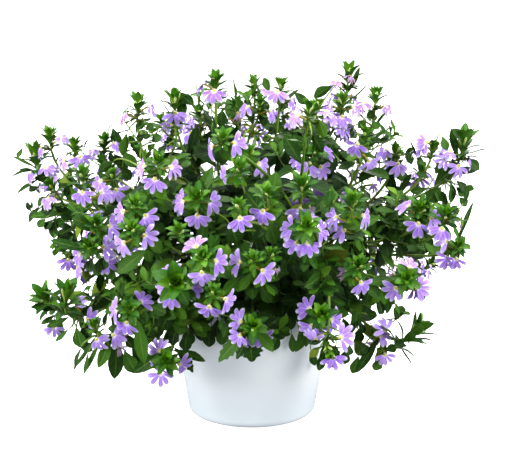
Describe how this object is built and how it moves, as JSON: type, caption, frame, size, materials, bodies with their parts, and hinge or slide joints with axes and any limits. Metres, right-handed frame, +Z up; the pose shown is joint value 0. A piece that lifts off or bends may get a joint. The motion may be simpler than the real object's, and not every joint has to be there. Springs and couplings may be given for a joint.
{
  "type": "potted fan flower",
  "caption": "Bushy trailing fan flower with one-sided lilac blooms and bright leafy tips, rooted in a nursery pot of soil inside a smooth round white cover pot.",
  "frame": {"origin": "middle of the flat face under the cover pot, which the part stands on", "axes": "+Z up along the pots' axis, +X to the right and -Y toward the viewer of the picture"},
  "size_m": [0.4457, 0.3905, 0.3294],
  "materials": {
    "glazed_white": "satin",
    "red_plastic": "matte",
    "potting_soil": "rough",
    "foliage": "matte"
  },
  "bodies": {
    "root": {"cover_pot": "glazed_white", "nursery_pot": "red_plastic", "soil": "potting_soil", "leafy_stem_01": "foliage", "leafy_stem_02": "foliage", "leafy_stem_03": "foliage", "leafy_stem_04": "foliage", "leafy_stem_05": "foliage", "leafy_stem_06": "foliage", "leafy_stem_07": "foliage", "leafy_stem_08": "foliage", "leafy_stem_09": "foliage", "leafy_stem_10": "foliage", "leafy_stem_11": "foliage", "leafy_stem_12": "foliage", "leafy_stem_13": "foliage", "leafy_stem_14": "foliage", "leafy_stem_15": "foliage", "leafy_stem_16": "foliage", "leafy_stem_17": "foliage", "leafy_stem_18": "foliage", "leafy_stem_19": "foliage", "leafy_stem_20": "foliage", "leafy_stem_21": "foliage", "leafy_stem_22": "foliage", "leafy_stem_23": "foliage", "leafy_stem_24": "foliage", "leafy_stem_25": "foliage", "leafy_stem_26": "foliage", "leafy_stem_27": "foliage", "leafy_stem_28": "foliage", "leafy_stem_29": "foliage", "leafy_stem_30": "foliage", "leafy_stem_31": "foliage", "leafy_stem_32": "foliage", "leafy_stem_33": "foliage", "leafy_stem_34": "foliage", "leafy_stem_35": "foliage", "leafy_stem_36": "foliage", "leafy_stem_37": "foliage", "leafy_stem_38": "foliage", "leafy_stem_39": "foliage", "leafy_stem_40": "foliage", "leafy_stem_41": "foliage", "leafy_stem_42": "foliage", "leafy_stem_43": "foliage", "leafy_stem_44": "foliage", "leafy_stem_45": "foliage", "leafy_stem_46": "foliage", "leafy_stem_47": "foliage", "leafy_stem_48": "foliage", "leafy_stem_49": "foliage", "leafy_stem_50": "foliage", "leafy_stem_51": "foliage", "leafy_stem_52": "foliage", "leafy_stem_53": "foliage", "leafy_stem_54": "foliage", "leafy_stem_55": "foliage", "leafy_stem_56": "foliage", "leafy_stem_57": "foliage"}
  },
  "joints": []
}
